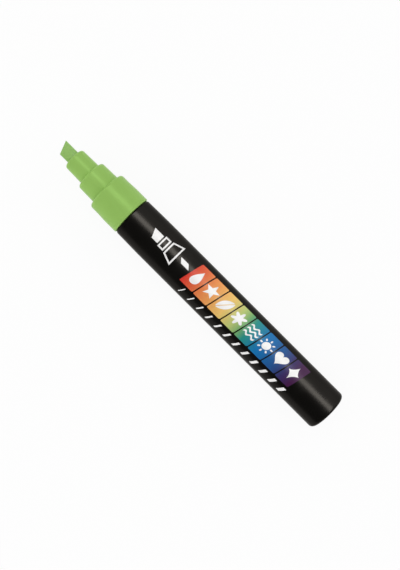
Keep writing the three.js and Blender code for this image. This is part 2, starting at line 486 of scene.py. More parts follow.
@dataclass(frozen=True, kw_only=True)
class SpectrumInkWithPaintedLight(Finish):
    """Screen-printed ink that runs through the spectrum along the barrel.

    Args:
        band: from where to where the colours run along the axis.
        stops: the colours and their shares of the way.
        fade: from where to where across the marker the ink goes from painted shade towards -Y to a
            painted sheen towards +Y, as if lit from +Y.
        deep_share: how much black is mixed in as painted shade.
        pale: the pale colour mixed in as a painted sheen.
        pale_share: how much of that painted sheen it has.
    """

    band: Span
    stops: tuple[tuple[float, Colour], ...] = (
        (0.00, (0.74, 0.045, 0.028)),
        (0.08, (0.78, 0.140, 0.050)),
        (0.20, (0.88, 0.340, 0.095)),
        (0.33, (0.88, 0.580, 0.165)),
        (0.43, (0.50, 0.600, 0.190)),
        (0.49, (0.17, 0.420, 0.150)),
        (0.54, (0.02, 0.290, 0.245)),
        (0.66, (0.003, 0.175, 0.470)),
        (0.80, (0.014, 0.090, 0.300)),
        (0.89, (0.042, 0.026, 0.135)),
        (0.96, (0.060, 0.009, 0.068)),
    )
    # Painted light: the ink is mixed with black towards -Y as painted shade and with a pale colour
    # towards +Y as a painted sheen, as if lit from +Y.
    fade: Span = Span(-4.0, 6.0)
    deep_share: float = 0.13
    pale: Colour = (0.80, 0.90, 0.70)
    pale_share: float = 0.02
    name: str = "spectrum_ink_with_painted_light"
    shade: Colour = (0.05, 0.045, 0.04)
    roughness: float = 0.36
    specular: float = 0.09
    thin: Pattern = Pattern(1.1, 3.0, ends=(0.50, 0.75), share=0.07)
    film: Pattern = Pattern(0.14, roughness=0.06, depth=0.002)

    def ground(self, graph: Graph) -> Value:
        """The spectrum along X, with painted shade towards -Y and a painted sheen towards +Y.

        Args:
            graph: the graph that gets its nodes.

        Returns:
            The colour.
        """
        ends = {0: graph.coordinate("X"), 1: AXIS.x(self.band.low), 2: AXIS.x(self.band.high)}
        share = graph.node("ShaderNodeMapRange", inputs=ends)
        hue = graph.node("ShaderNodeValToRGB", {"stops": self.stops}, {0: share})
        # Painted shade: the spectrum darkened with black.
        deep = graph.mix(self.deep_share, hue, BLACK)
        # Painted sheen: the spectrum lightened with a pale colour.
        pale = graph.mix(self.pale_share, hue, self.pale)
        return graph.mix(
            graph.coordinate("Y").ramp(self.fade.low * MM, self.fade.high * MM), deep, pale
        )


@dataclass(frozen=True, kw_only=True)
class Rubber(Finish):
    """Moulded black rubber with a dull skin and a faint bloom."""

    name: str = "seal_rubber_skin"
    colour: Colour = (0.020, 0.020, 0.021)
    shade: Colour = (0.060, 0.060, 0.062)
    roughness: float = 0.62
    bloom: Pattern = Pattern(1.4, 4.0, ends=(0.45, 0.75), share=0.6, roughness=0.15)
    skin: Pattern = Pattern(0.08, depth=0.003)


@dataclass(frozen=True, kw_only=True)
class Steel(Finish):
    """Bright steel with a fine grain and dull patches."""

    colour: Colour = (0.56, 0.57, 0.58)
    shade: Colour = (0.42, 0.42, 0.42)
    metallic: float = 1.0
    grain: Pattern = Pattern(0.06, 3.0, roughness=0.10, depth=0.0008)
    dull: Pattern = Pattern(1.6, 3.0, ends=(0.45, 0.70), share=0.3, roughness=0.05)


def smooth_by_angle(bm: bmesh.types.BMesh) -> None:
    """Marks faces smooth and the edges of sharp bends hard.

    Args:
        bm: the mesh.
    """
    for face in bm.faces:
        face.smooth = True
    for edge in bm.edges:
        sharp = len(edge.link_faces) == 2 and edge.calc_face_angle(0.0) > SMOOTH_ANGLE
        edge.smooth = not sharp


def to_object(bm: bmesh.types.BMesh, name: str) -> bpy.types.Object:
    """Makes an object of a bmesh, smooth except along its sharp edges.

    Args:
        bm: the mesh, in metres. It is freed.
        name: the object's name.

    Returns:
        The new object, linked to the scene.
    """
    bmesh.ops.recalc_face_normals(bm, faces=bm.faces)
    smooth_by_angle(bm)
    mesh = bpy.data.meshes.new(name)
    bm.to_mesh(mesh)
    bm.free()
    made = bpy.data.objects.new(name, mesh)
    bpy.context.scene.collection.objects.link(made)
    return made


class Rounding(Enum):
    """What a rounding works on."""

    CORNERS = "VERTICES"
    EDGES = "EDGES"


def round_off(
    bm: bmesh.types.BMesh, geom: list, offset: float, segments: int, what: Rounding
) -> list[bmesh.types.BMVert]:
    """Rounds corners in full, or edges as far as their roundings have room.

    Args:
        bm: the mesh.
        geom: the vertices or edges that are rounded.
        offset: how far the rounding reaches, in the mesh's units.
        segments: how many steps it has.
        what: whether it works on corners or edges.

    Returns:
        The vertices of the rounding.
    """
    rounded = bmesh.ops.bevel(
        bm,
        geom=geom,
        offset=offset,
        offset_type="OFFSET",
        segments=segments,
        profile=0.5,
        affect=what.value,
        clamp_overlap=what is Rounding.EDGES,
        material=-1,
    )
    return rounded["verts"]


def turn(
    bm: bmesh.types.BMesh, geom: list, angle: float, steps: int, rise: float = 0.0
) -> list[bmesh.types.BMFace]:
    """Turns a section about the marker's axis and leaves faces behind it.

    Args:
        bm: the mesh.
        geom: the section's vertices, edges or faces.
        angle: how far it turns, in radians.
        steps: how many steps it takes.
        rise: how far it moves along the axis in a step. Without it, the turn closes on itself.

    Returns:
        The section at the end of the turn.
    """
    spun = bmesh.ops.spin(
        bm,
        geom=geom,
        cent=AXIS.point(0.0),
        axis=X_AXIS,
        dvec=X_AXIS * rise * MM,
        angle=angle,
        steps=steps,
        use_merge=not rise,
        use_duplicate=False,
    )
    return spun["geom_last"]


def turned_mesh(corners: Sequence[Corner]) -> bmesh.types.BMesh:
    """Makes a round body from its section.

    Args:
        corners: the section. It is closed on itself unless it starts on the axis.

    Returns:
        The closed body, in metres.
    """
    bm = bmesh.new()
    verts = [bm.verts.new(AXIS.point(c.along, 0.0, c.radius)) for c in corners]
    for first, second in zip(verts, verts[1:]):
        bm.edges.new((first, second))
    if corners[0].radius > 0:
        bm.edges.new((verts[-1], verts[0]))
    places = [vert.co.copy() for vert in verts]
    for i, corner in enumerate(corners):
        if corner.fillet:
            back = places[i - 1] - places[i]
            ahead = places[(i + 1) % len(places)] - places[i]
            tangent = corner.fillet * MM / math.tan(back.angle(ahead) / 2)
            round_off(bm, [verts[i]], tangent, FILLET_SEGMENTS, Rounding.CORNERS)
    turn(bm, bm.verts[:] + bm.edges[:], math.tau, TURN_STEPS)
    bmesh.ops.remove_doubles(bm, verts=bm.verts, dist=MERGE_DISTANCE * MM)
    return bm


def block(bm: bmesh.types.BMesh, low: Vector, high: Vector, angle: float) -> None:
    """Adds a box between two corners, turned about the marker's axis.

    Args:
        bm: the mesh that gets the box.
        low: its lowest corner along, across and above the axis.
        high: its highest corner.
        angle: the turn, in radians.
    """
    place = Matrix.Translation(AXIS.point(0.0)) @ Matrix.Rotation(angle, 4, "X")
    place = place @ Matrix.Translation((low + high) / 2 * MM)
    size = Matrix.Diagonal((*((high - low) * MM), 1.0))
    bmesh.ops.create_cube(bm, size=1.0, matrix=place @ size)


class Boolean(Enum):
    """How one closed body changes another."""

    JOIN = "UNION"
    CUT = "DIFFERENCE"


def combine(target: bpy.types.Object, tool: bpy.types.Object, how: Boolean) -> None:
    """Joins a tool to a target or cuts it away, and removes the tool.

    Args:
        target: the object that changes.
        tool: the object that is joined or cut away.
        how: which of the two.
    """
    modifier = target.modifiers.new("combine", "BOOLEAN")
    modifier.operation = how.value
    modifier.solver = "EXACT"
    modifier.use_self = how is Boolean.JOIN
    modifier.object = tool
    graph = bpy.context.evaluated_depsgraph_get()
    result = bpy.data.meshes.new_from_object(target.evaluated_get(graph))
    target.modifiers.clear()
    target.data = result
    bpy.data.objects.remove(tool)
    bm = bmesh.new()
    bm.from_mesh(target.data)
    smooth_by_angle(bm)
    bm.to_mesh(target.data)
    bm.free()


def dress(
    piece: bpy.types.Object, finish: Finish, body: Body, node: str | None = None
) -> None:
    """Gives a piece its finish and its place in the frame.

    Args:
        piece: the piece.
        finish: what it is made of.
        body: the body that it rides on.
        node: the CAD node that it stands for, if there is one.
    """
    piece.data.materials.clear()
    piece.data.materials.append(finish.material())
    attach(piece, body.value)
    if node:
        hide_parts(node)
    log.info("%s: %d faces on %s", piece.name, len(piece.data.polygons), body.value)


@dataclass
class Barrel:
    """The aluminium tube with its closed rear end and rolled-in mouth."""

    length: float = (AXIS.rear - AXIS.mouth) / MM
    radius: float = AXIS.radius
    wall: float = 0.5
    floor: float = 0.8
    rear_edge: float = 1.45
    neck_drop: float = 0.17
    neck_length: float = 10.5
    neck_blend: float = 30.0
    lip_depth: float = 0.5
    lip_radius: float = 0.9
    lip_edge: float = 0.12

    @property
    def mouth_radius(self) -> float:
        """The outside radius at the mouth, before the lip turns in."""
        return self.radius - self.neck_drop

    @property
    def mouth_bore(self) -> float:
        """The bore's radius at the mouth, behind the lip."""
        return self.mouth_radius - self.wall

    @property
    def lip_bore(self) -> float:
        """The radius of the lip's free edge."""
        return self.mouth_bore - self.lip_depth

    def bore_at(self, along: float) -> float:
        """The bore's radius at a place along the axis."""
        share = (along - self.wall) / (self.neck_length - self.wall)
        return self.mouth_bore + self.neck_drop * min(max(share, 0.0), 1.0)

    def skin_at(self, along: float) -> float:
        """The outside radius at a place along the axis, behind the lip."""
        return self.mouth_radius + self.neck_drop * min(max(along / self.neck_length, 0.0), 1.0)

    def build(self) -> None:
        """Turns the tube and gives it its lacquer."""
        bore = self.radius - self.wall
        corners = [
            Corner(0.0, self.length - self.floor),
            Corner(bore, self.length - self.floor, self.rear_edge - self.wall),
            Corner(bore, self.neck_length, self.neck_blend),
            Corner(self.mouth_bore, self.wall, self.lip_radius - self.wall),
            Corner(self.lip_bore, self.wall, self.lip_edge),
            Corner(self.lip_bore, 0.0, self.lip_edge),
            Corner(self.mouth_radius, 0.0, self.lip_radius),
            Corner(self.radius, self.neck_length, self.neck_blend),
            Corner(self.radius, self.length, self.rear_edge),
            Corner(0.0, self.length),
        ]
        tube = to_object(turned_mesh(corners), "barrel_tube")
        dress(tube, Lacquer(), Body.BODY, "barrel")


def polar(angle: float, radius: float) -> Point:
    """A point from its angle, clockwise from the top, and its radius."""
    return radius * math.sin(angle), radius * math.cos(angle)


def sheared(slant: float) -> Matrix:
    """A matrix that moves a point along x by a share of its y."""
    return Matrix(((1.0, slant, 0.0, 0.0), *Matrix.Identity(4)[1:]))


class FlatPrint:
    """A print that is drawn flat and then wrapped round the barrel.

    In the drawing, x runs along the axis from the barrel's mouth, and y runs round the barrel
    from its top towards +Y.

    Args:
        name: the piece's name.
        barrel: the barrel that it is printed on.
        layers: how many layers of ink there are up to its surface.
    """

    layer = 0.012
    thickness = 0.010
    strip = 0.4
    wave_steps = 48
    corner_segments = 4

    def __init__(self, name: str, barrel: Barrel, layers: int = 1) -> None:
        """Starts an empty print."""
        self.name = name
        self.barrel = barrel
        self.lift = layers * self.layer
        self.bm = bmesh.new()

    def outline(self, place: Matrix, curve: Curve, steps: int = 96) -> None:
        """Adds a filled outline.

        Args:
            place: where the outline lies in the print.
            curve: the outline's point for an angle from 0 to a full turn.
            steps: how many points the outline has.
        """
        made = bmesh.ops.create_circle(self.bm, cap_ends=True, segments=steps, radius=1.0)
        for i, vert in enumerate(made["verts"]):
            vert.co = Vector((*curve(math.tau * i / steps), 0.0))
        bmesh.ops.transform(self.bm, matrix=place, verts=made["verts"])

    def bar(self, place: Matrix, length: float, width: float, edge: float) -> None:
        """Adds a rectangle with rounded corners.

        Args:
            place: where its middle lies in the print.
            length: its size along x.
            width: its size along y.
            edge: how far its corners are rounded.
        """
        size = Matrix.Diagonal((length, width, 1.0, 1.0))
        made = bmesh.ops.create_grid(self.bm, x_segments=1, y_segments=1, size=0.5, matrix=size)
        segments = self.corner_segments
        verts = round_off(self.bm, made["verts"], edge, segments, Rounding.CORNERS)
        bmesh.ops.transform(self.bm, matrix=place, verts=verts)

    def wave(self, place: Matrix, waves: float, swing: float, width: float) -> None:
        """Adds a wavy stroke that is two units long.

        Args:
            place: where its middle lies in the print.
            waves: how many waves it has.
            swing: how far it swings to each side.
            width: how wide the stroke is.
        """
        steps = self.wave_steps
        made = bmesh.ops.create_grid(self.bm, x_segments=steps, y_segments=1, size=1.0)
        for vert in made["verts"]:
            vert.co.y = width / 2 * vert.co.y + swing * math.sin(waves * math.pi * vert.co.x)
        bmesh.ops.transform(self.bm, matrix=place, verts=made["verts"])

    def polygon(self, corners: Sequence[Point], line: float = 0.0) -> None:
        """Adds a polygon.

        Args:
            corners: its corners.
            line: the width of the line that it is drawn with. Without one, it is filled.
        """
        face = self.bm.faces.new([self.bm.verts.new((x, y, 0.0)) for x, y in corners])
        if line:
            face.normal_update()
            bmesh.ops.inset_region(
                self.bm, faces=[face], thickness=line, use_boundary=True, use_even_offset=True
            )
            bmesh.ops.delete(self.bm, geom=[face], context="FACES_ONLY")

    def wrap(self, finish: Finish) -> None:
        """Cuts the print into strips, wraps them round the barrel and dresses them.

        Args:
            finish: the ink.
        """
        bmesh.ops.triangulate(self.bm, faces=self.bm.faces)
        heights = [vert.co.y for vert in self.bm.verts]
        round_barrel = Span(min(heights), max(heights))
        for i in range(1, math.ceil(round_barrel.size / self.strip)):
            self.cut(Y_AXIS * (round_barrel.low + i * self.strip), Y_AXIS)
        self.cut(X_AXIS * self.barrel.neck_length, X_AXIS)
        for vert in self.bm.verts:
            radius = self.barrel.skin_at(vert.co.x) + self.lift
            vert.co = AXIS.point(vert.co.x, *polar(vert.co.y / self.barrel.radius, radius))
        self.face_outwards()
        bmesh.ops.solidify(self.bm, geom=self.bm.faces[:], thickness=self.thickness * MM)
        dress(to_object(self.bm, self.name), finish, Body.BODY)

    def cut(self, point: Vector, across: Vector) -> None:
        """Cuts all faces at a plane and keeps both sides."""
        geom = self.bm.verts[:] + self.bm.edges[:] + self.bm.faces[:]
        bmesh.ops.bisect_plane(
            self.bm, geom=geom, plane_co=point, plane_no=across, dist=CUT_DISTANCE
        )

    def face_outwards(self) -> None:
        """Turns the faces away from the marker's axis, so that the ink thickens inwards."""
        self.bm.normal_update()
        inward = []
        for face in self.bm.faces:
            arm = face.calc_center_median() - AXIS.point(0.0)
            if face.normal.yz.dot(arm.yz) < 0:
                inward.append(face)
        bmesh.ops.reverse_faces(self.bm, faces=inward)


Drawing = Callable[[FlatPrint, Matrix], None]


def drop(angle: float) -> Point:
    """A paint drop with its point at the top."""
    return 0.95 * math.sin(angle) * math.sin(angle / 2) ** 1.6, 1.2 * math.cos(angle)


def star(angle: float) -> Point:
    """A star with five points, from ten corners."""
    return polar(angle, 1.15 if math.cos(5 * angle) > 0 else 0.5)


def half_leaf(angle: float) -> Point:
    """Half a leaf, bulging to the right of its vein."""
    return 0.62 * max(math.sin(angle), 0.0) ** 1.6, 1.25 * math.cos(angle)


def flower(angle: float) -> Point:
    """A flower with six petals."""
    return polar(angle, 0.80 + 0.28 * math.cos(6 * angle))


def disc(angle: float) -> Point:
    """The sun's disc."""
    return polar(angle, 0.60)


def heart(angle: float) -> Point:
    """A heart."""
    up = 13 * math.cos(angle) - 5 * math.cos(2 * angle) - 2 * math.cos(3 * angle)
    return 1.05 * math.sin(angle) ** 3, (up - math.cos(4 * angle)) / 15 + 0.14


def sparkle(angle: float) -> Point:
    """A spark with four points and hollow sides."""
    return 0.95 * math.sin(angle) ** 3, 1.25 * math.cos(angle) ** 3


def filled(curve: Curve, steps: int = 96) -> Drawing:
    """The drawing of one filled outline."""
    return lambda flat, place: flat.outline(place, curve, steps)


def draw_leaf(flat: FlatPrint, place: Matrix, tilt: float = -0.6, vein: float = 0.055) -> None:
    """Draws a leaf, parted along its vein.

    Args:
        flat: the print.
        place: where the leaf lies.
        tilt: how far the leaf is turned, in radians.
        vein: how far each half stands off the vein.
    """
    for angle in (tilt, tilt + math.pi):
        half = place @ Matrix.Rotation(angle, 4, "Z") @ Matrix.Translation(X_AXIS * vein)
        flat.outline(half, half_leaf)


def draw_waves(flat: FlatPrint, place: Matrix) -> None:
    """Draws three waves, one above the other."""
    for row in (-0.66, 0.0, 0.66):
        flat.wave(place @ Matrix.Translation(Y_AXIS * row), waves=2.0, swing=0.17, width=0.28)


def draw_sun(flat: FlatPrint, place: Matrix, rays: int = 8, reach: float = 0.93) -> None:
    """Draws a sun.

    Args:
        flat: the print.
        place: where the sun lies.
        rays: how many rays it has.
        reach: how far a ray's middle is from the sun's.
    """
    flat.outline(place, disc)
    for i in range(rays):
        ray = place @ Matrix.Rotation(math.tau * i / rays, 4, "Z")
        flat.bar(ray @ Matrix.Translation(X_AXIS * reach), length=0.36, width=0.22, edge=0.08)


PICTURES: tuple[Drawing, ...] = (
    filled(drop),
    filled(star, 10),
    draw_leaf,
    filled(flower),
    draw_waves,
    draw_sun,
    filled(heart),
    filled(sparkle),
)


class Taper(NamedTuple):
    """An outlined part of the nib sign: its length and its widths at the front and the rear."""

    length: float
    front: float
    rear: float


@dataclass
class Artwork:
    """The printing: a spectrum band with pictures, a nib sign and a scale of line widths."""

    barrel: Barrel
    band: Span = Span(28.7, 82.0)
    swatch_rows: Span = Span(-4.0, 6.4)
    swatch_gap: float = 0.5
    swatch_edge: float = 0.45
    swatch_slant: float = 0.22
    picture_size: float = 2.55
    sign_start: float = 9.4
    sign_middle: float = 1.35
    sign_line: float = 0.6
    nib_length: float = 4.2
    nib_width: float = 3.4
    nib_bevel: float = 1.5
    collar: Taper = Taper(2.6, 4.6, 4.6)
    cone: Taper = Taper(4.4, 5.2, 8.6)
    stroke_gap: float = 1.8
    stroke_length: float = 3.6
    stroke_width: float = 1.7
    stroke_slant: float = -0.88
    mark_count: int = 12
    mark_rows: Span = Span(-8.3, -5.1)
    mark_slant: float = 0.45
    mark_width: float = 0.4
    mark_growth: float = 0.09
    mark_edge: float = 0.12

    def places(self, count: int, height: float) -> list[Matrix]:
        """Evenly spaced places along the band, at a height round the barrel."""
        starts = [self.band.low + (i + 0.5) * self.band.size / count for i in range(count)]
        return [Matrix.Translation((start, height, 0.0)) for start in starts]

    def build(self) -> None:
        """Prints the swatches, their pictures, the sign and the scale."""
        self.swatches()
        self.pictures()
        self.sign()
        self.scale()

    def swatches(self) -> None:
        """Prints the slanted swatches, which run through the spectrum together."""
        flat = FlatPrint("print_swatches", self.barrel)
        width = self.band.size / len(PICTURES) - self.swatch_gap
        for place in self.places(len(PICTURES), self.swatch_rows.middle):
            slanted = place @ sheared(self.swatch_slant)
            flat.bar(slanted, width, self.swatch_rows.size, self.swatch_edge)
        flat.wrap(SpectrumInkWithPaintedLight(band=self.band))

    def pictures(self) -> None:
        """Prints one white picture on each swatch."""
        flat = FlatPrint("print_pictures", self.barrel, layers=2)
        lean = sheared(self.swatch_slant) @ Matrix.Scale(self.picture_size, 4)
        places = self.places(len(PICTURES), self.swatch_rows.middle)
        for draw, place in zip(PICTURES, places, strict=True):
            draw(flat, place @ lean)
        flat.wrap(Ink())

    def sign(self) -> None:
        """Prints the sign of a chisel nib: the nib, its collar and cone, and a broad stroke."""
        flat = FlatPrint("print_nib_sign", self.barrel)
        middle, half = self.sign_middle, self.nib_width / 2
        tip, rear = self.sign_start, self.sign_start + self.nib_length
        nib = [(tip, middle + half), (rear, middle + half)]
        flat.polygon([*nib, (rear, middle - half), (tip + self.nib_bevel, middle - half)])
        for part in (self.collar, self.cone):
            front = rear + self.sign_line
            rear = front + part.length
            narrow, wide = part.front / 2, part.rear / 2
            ends = [(front, middle + narrow), (front, middle - narrow)]
            ends += [(rear, middle - wide), (rear, middle + wide)]
            flat.polygon(ends, self.sign_line)
        start = rear + self.stroke_gap + self.stroke_length / 2
        place = Matrix.Translation((start, middle, 0.0)) @ sheared(self.stroke_slant)
        flat.bar(place, self.stroke_length, self.stroke_width, self.mark_edge)
        flat.wrap(Ink())

    def scale(self) -> None:
        """Prints a row of slanted strokes of growing width."""
        flat = FlatPrint("print_width_scale", self.barrel)
        for i, place in enumerate(self.places(self.mark_count, self.mark_rows.middle)):
            width = self.mark_width + i * self.mark_growth
            flat.bar(place @ sheared(self.mark_slant), width, self.mark_rows.size, self.mark_edge)
        flat.wrap(Ink())


class Step(NamedTuple):
    """A step of the front section."""

    diameter: float
    length: float


@dataclass
class FrontSection:
    """The green moulding with three steps, its spigot, bores and guide ribs."""

    barrel: Barrel
    small_step: Step = Step(8.42, 8.29)
    medium_step: Step = Step(11.75, 7.80)
    large_step: Step = Step(15.56, 12.77)
    draft: float = 0.18
    rounding: float = 1.0
    root: float = 0.35
    collar_length: float = 5.6
    collar_slope: float = 3.6
    collar_rounding: float = 0.35
    slope_rounding: float = 3.0
    wall: float = 1.15
    small_bore: float = 6.3
    medium_bore: float = 9.2
    chamber_bore: float = 10.0
    bore_rounding: float = 0.5
    valve_bore: float = 11.4
    valve_bore_edge: float = 0.15
    seat_setback: float = 4.0
    spigot_length: float = 10.0
    lead_in: float = 0.6
    bead_setback: float = 2.8
    bead_width: float = 0.4
    bead_height: float = 0.25
    bead_slope: float = 0.3
    nib_hole: float = 5.3
    hole_rounding: float = 0.18
    rib_count: int = 6
    rib_thickness: float = 0.7
    rib_inner: float = 2.6
    rib_setback: float = 0.5
    ring_setback: float = 5.4
    ring_thickness: float = 0.9
    snug: float = 0.05
    seam: float = 0.1

    @property
    def large_front(self) -> float:
        """Where the large step begins."""
        return -self.seam - self.large_step.length

    @property
    def medium_front(self) -> float:
        """Where the medium step begins."""
        return self.large_front - self.medium_step.length

    @property
    def small_front(self) -> float:
        """Where the small step begins, at the nib."""
        return self.medium_front - self.small_step.length

    @property
    def ring_place(self) -> float:
        """Where the sealing ring's middle lies."""
        return self.spigot_length - self.ring_setback

    def step(self, step: Step, front: float) -> list[Corner]:
        """A step's corners: a rounded one, a slight draft and one with a root fillet."""
        rounded = Corner(step.diameter / 2, front, self.rounding)
        return [rounded, Corner(step.diameter / 2 + self.draft, front + step.length, self.root)]

    def spigot(self, along: float, fillet: float = 0.0) -> Corner:
        """A corner on the spigot's skin, which fits the barrel's bore."""
        return Corner(self.barrel.bore_at(along) - self.snug, along, fillet)

    def bead(self, radius: float, spread: float = 0.0, fillet: float = 0.0) -> list[Corner]:
        """The corners of the cage's snap bead, or of the groove that takes it.

        Args:
            radius: the radius that the bead stands on.
            spread: how much wider it is to each side.
            fillet: how its crest is rounded.

        Returns:
            The corners, from the front to the rear.
        """
        place = self.spigot_length - self.bead_setback
        crest, half = radius + self.bead_height, self.bead_width / 2 + spread
        return [
            Corner(radius, place - half - self.bead_slope),
            Corner(crest, place - half, fillet),
            Corner(crest, place + half, fillet),
            Corner(radius, place + half + self.bead_slope),
        ]

    def outside(self) -> list[Corner]:
        """The moulding's outside.

        Returns:
            The corners, from the nib's hole to the spigot's end.
        """
        barrel = self.barrel
        shoulder = barrel.wall + 2 * self.snug
        half = self.ring_thickness / 2 + self.snug
        front, rear = self.ring_place - half, self.ring_place + half
        groove = barrel.bore_at(self.ring_place) - self.ring_thickness - 2 * self.snug
        lead = self.spigot(self.spigot_length - self.lead_in)
        large = self.large_step.diameter / 2
        return [
            Corner(self.nib_hole / 2, self.small_front, self.hole_rounding),
            *self.step(self.small_step, self.small_front),
            *self.step(self.medium_step, self.medium_front),
            Corner(large, self.large_front, self.rounding),
            Corner(large, -self.collar_length - self.collar_slope, self.slope_rounding),
            Corner(barrel.radius, -self.collar_length, self.slope_rounding),
            Corner(barrel.radius, -self.seam, self.collar_rounding),
            Corner(barrel.lip_bore - self.snug, -self.seam),
            Corner(barrel.lip_bore - self.snug, shoulder),
            self.spigot(shoulder, barrel.lip_radius - barrel.wall),
            self.spigot(front),
            Corner(groove, front),
            Corner(groove, rear),
            self.spigot(rear),
            lead,
            Corner(lead.radius - self.lead_in / 2, self.spigot_length),
        ]

    def inside(self) -> list[Corner]:
        """The moulding's bores.

        Returns:
            The corners, from the spigot's end to the nib's hole.
        """
        valve, chamber = self.valve_bore / 2, self.chamber_bore / 2
        medium, small = self.medium_bore / 2, self.small_bore / 2
        return [
            Corner(valve, self.spigot_length, self.valve_bore_edge),
            *reversed(self.bead(valve, self.snug)),
            Corner(valve, -self.seat_setback),
            Corner(chamber, -self.seat_setback),
            Corner(chamber, self.large_front + self.wall, self.bore_rounding),
            Corner(medium, self.large_front + self.wall),
            Corner(medium, self.medium_front + self.wall, self.bore_rounding),
            Corner(small, self.medium_front + self.wall),
            Corner(small, self.small_front + self.wall),
            Corner(self.nib_hole / 2, self.small_front + self.wall),
        ]

    def ribs(self) -> bpy.types.Object:
        """The ribs that guide the nib, as closed bodies that reach into the wall.

        Returns:
            The ribs.
        """
        bm = bmesh.new()
        half, sunk = self.rib_thickness / 2, self.wall / 2
        front, bend = self.small_front + sunk, self.medium_front + sunk
        rear = self.large_front + self.wall - self.rib_setback
        parts = ((front, bend, self.small_bore), (bend, rear, self.medium_bore))
        for i in range(self.rib_count):
            for start, end, bore in parts:
                low = Vector((start, -half, self.rib_inner))
                high = Vector((end, half, bore / 2 + sunk))
                block(bm, low, high, math.tau * i / self.rib_count)
        return to_object(bm, "guide_ribs")

    def build(self) -> None:
        """Turns the moulding, joins its ribs and gives it its finish."""
        moulding = to_object(turned_mesh([*self.outside(), *self.inside()]), "front_moulding")
        combine(moulding, self.ribs(), Boolean.JOIN)
        dress(moulding, GreenPlastic(), Body.BODY, "front_section")


@dataclass
class Nib:
    """The fibre rod, ground to a chisel with a slanted edge."""

    front: FrontSection
    diameter: float = 5.0
    reach: float = 6.3
    travel: float = 2.2
    stop_gap: float = 0.8
    spare: float = 1.0
    slant: float = math.radians(21.5)
    facet_length: float = 4.6
    edge_thickness: float = 0.9
    edge_softness: float = 0.16
    edge_segments: int = 3
    rear_rounding: float = 0.4

    @property
    def rear(self) -> float:
        """Where the rod's rear end lies, with room to be pressed in."""
        return -self.front.seat_setback - self.travel - self.stop_gap

    def build(self) -> None:
        """Turns the rod, grinds the slanted end and the two facets, and softens their edges."""
        radius = self.diameter / 2
        tip = self.front.small_front - self.reach
        corners = [
            Corner(0.0, tip - self.spare),
            Corner(radius, tip - self.spare),
            Corner(radius, self.rear, self.rear_rounding),
            Corner(0.0, self.rear),
        ]
        bm = turned_mesh(corners)
        back = Vector((math.cos(self.slant), math.sin(self.slant), 0.0))
        corner = AXIS.point(tip, radius)
        self.grind(bm, corner, -back)
        rise = (radius - self.edge_thickness / 2) / self.facet_length
        for side in (1.0, -1.0):
            lift = Vector((0.0, 0.0, side))
            self.grind(bm, corner + lift * self.edge_thickness / 2 * MM, lift - back * rise)
        self.soften(bm, AXIS.x((tip + self.rear) / 2))
        dress(to_object(bm, "chisel_nib"), Fibre(), Body.NIB, "nib")

    @staticmethod
    def grind(bm: bmesh.types.BMesh, point: Vector, outward: Vector) -> None:
        """Cuts away what lies outside a plane and closes the cut.

        Args:
            bm: the rod.
            point: a point on the plane.
            outward: the plane's direction.
        """
        geom = bm.verts[:] + bm.edges[:] + bm.faces[:]
        dist = CUT_DISTANCE * MM
        cut = bmesh.ops.bisect_plane(
            bm, geom=geom, plane_co=point, plane_no=outward, clear_outer=True, dist=dist
        )
        rim = [item for item in cut["geom_cut"] if isinstance(item, bmesh.types.BMEdge)]
        bmesh.ops.edgeloop_fill(bm, edges=rim)

    def soften(self, bm: bmesh.types.BMesh, limit: float) -> None:
        """Rounds the hard edges of the ground end.

        Args:
            bm: the rod.
            limit: how far on X the ground end is looked for, in metres.
        """
        hard = []
        for edge in bm.edges:
            bent = edge.calc_face_angle(0.0) > SMOOTH_ANGLE / 2
            if bent and max(vert.co.x for vert in edge.verts) < limit:
                hard.append(edge)
        round_off(bm, hard, self.edge_softness * MM, self.edge_segments, Rounding.EDGES)


